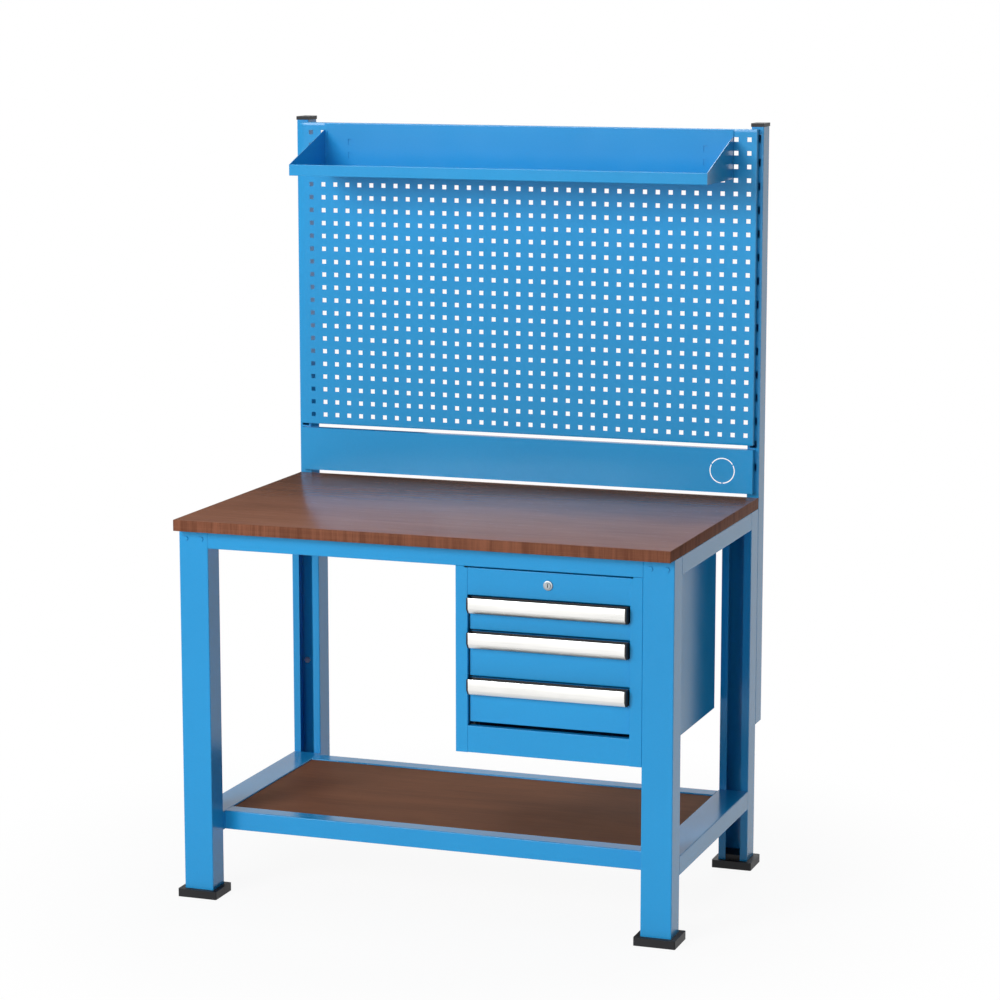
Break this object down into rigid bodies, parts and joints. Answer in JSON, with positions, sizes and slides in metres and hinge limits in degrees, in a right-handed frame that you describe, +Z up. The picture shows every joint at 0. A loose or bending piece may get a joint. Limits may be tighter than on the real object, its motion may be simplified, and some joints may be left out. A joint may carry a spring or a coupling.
{
  "type": "workbench with pegboard",
  "caption": "Steel workbench with a wooden top, lower shelf, hanging drawer cabinet with a lock, and a pegboard back with a tray shelf.",
  "frame": {"origin": "on the floor, under the middle of the whole bench in width and depth", "axes": "+X to the user's right, +Y from the user to the wall, +Z up"},
  "size_m": [1.144, 0.751, 1.688],
  "materials": {
    "blue_steel": "satin powder coat",
    "worktop_wood": "satin sealed board",
    "shelf_wood": "satin sealed board",
    "black_plastic": "matt",
    "aluminium_grip": "satin anodised",
    "zinc_steel": "bright zinc plated",
    "lock_metal": "polished"
  },
  "bodies": {
    "bench": {"bottom_fascia": "blue_steel", "cabinet_back": "blue_steel", "cabinet_floor": "blue_steel", "cabinet_left_side": "blue_steel", "cabinet_right_side": "blue_steel", "cabinet_top": "blue_steel", "cable_knockout": "blue_steel", "feet": "black_plastic", "frame_bolts": "zinc_steel", "front_left_leg": "blue_steel", "front_right_leg": "blue_steel", "front_shelf_rail": "blue_steel", "front_top_rail": "blue_steel", "left_bottom_rail": "blue_steel", "left_top_rail": "blue_steel", "left_upright": "blue_steel", "lock_fascia": "blue_steel", "lock_housing": "lock_metal", "lower_back_panel": "blue_steel", "lower_shelf_board": "shelf_wood", "pegboard": "blue_steel", "rear_left_leg": "blue_steel", "rear_right_leg": "blue_steel", "rear_shelf_rail": "blue_steel", "rear_top_rail": "blue_steel", "right_bottom_rail": "blue_steel", "right_top_rail": "blue_steel", "right_upright": "blue_steel", "slide_outers": "zinc_steel", "slide_posts": "zinc_steel", "tray_hooks": "blue_steel", "tray_shelf": "blue_steel", "upright_bolts": "zinc_steel", "upright_caps": "black_plastic", "worktop": "worktop_wood"},
    "drawer_1": {"drawer_1_box": "blue_steel", "drawer_1_catch": "zinc_steel", "drawer_1_front": "blue_steel", "drawer_1_grip": "aluminium_grip", "drawer_1_grip_caps": "black_plastic", "drawer_1_slide_inners": "zinc_steel"},
    "drawer_1_middle_slides": {"drawer_1_slide_middles": "zinc_steel"},
    "drawer_2": {"drawer_2_box": "blue_steel", "drawer_2_catch": "zinc_steel", "drawer_2_front": "blue_steel", "drawer_2_grip": "aluminium_grip", "drawer_2_grip_caps": "black_plastic", "drawer_2_slide_inners": "zinc_steel"},
    "drawer_2_middle_slides": {"drawer_2_slide_middles": "zinc_steel"},
    "drawer_3": {"drawer_3_box": "blue_steel", "drawer_3_catch": "zinc_steel", "drawer_3_front": "blue_steel", "drawer_3_grip": "aluminium_grip", "drawer_3_grip_caps": "black_plastic", "drawer_3_slide_inners": "zinc_steel"},
    "drawer_3_middle_slides": {"drawer_3_slide_middles": "zinc_steel"},
    "lock_core": {"lock_cylinder": "lock_metal", "lock_rod": "zinc_steel"},
    "lock_bar_body": {"lock_bar": "zinc_steel"}
  },
  "joints": [
    {"name": "drawer_1_travel", "type": "slide", "parent": "bench", "child": "drawer_1", "axis": [0, -1, 0], "range_m": [0, 0.45]},
    {"name": "drawer_1_middle_travel", "type": "slide", "parent": "bench", "child": "drawer_1_middle_slides", "axis": [0, -1, 0], "range_m": [0, 0.225]},
    {"name": "drawer_2_travel", "type": "slide", "parent": "bench", "child": "drawer_2", "axis": [0, -1, 0], "range_m": [0, 0.45]},
    {"name": "drawer_2_middle_travel", "type": "slide", "parent": "bench", "child": "drawer_2_middle_slides", "axis": [0, -1, 0], "range_m": [0, 0.225]},
    {"name": "drawer_3_travel", "type": "slide", "parent": "bench", "child": "drawer_3", "axis": [0, -1, 0], "range_m": [0, 0.45]},
    {"name": "drawer_3_middle_travel", "type": "slide", "parent": "bench", "child": "drawer_3_middle_slides", "axis": [0, -1, 0], "range_m": [0, 0.225]},
    {"name": "lock_turn", "type": "hinge", "parent": "bench", "child": "lock_core", "pos_m": [0.286, -0.3345, 0.755], "axis": [0, 1, 0], "range_deg": [0, 90]},
    {"name": "lock_bar_travel", "type": "slide", "parent": "bench", "child": "lock_bar_body", "axis": [0, 0, -1], "range_m": [0, 0.014]}
  ],
  "couplings": [
    {"joint": "drawer_1_middle_travel", "follows": "drawer_1_travel", "ratio": 0.5},
    {"joint": "drawer_2_middle_travel", "follows": "drawer_2_travel", "ratio": 0.5},
    {"joint": "drawer_3_middle_travel", "follows": "drawer_3_travel", "ratio": 0.5},
    {"joint": "lock_bar_travel", "follows": "lock_turn", "m_per_rad": 0.0089126}
  ]
}
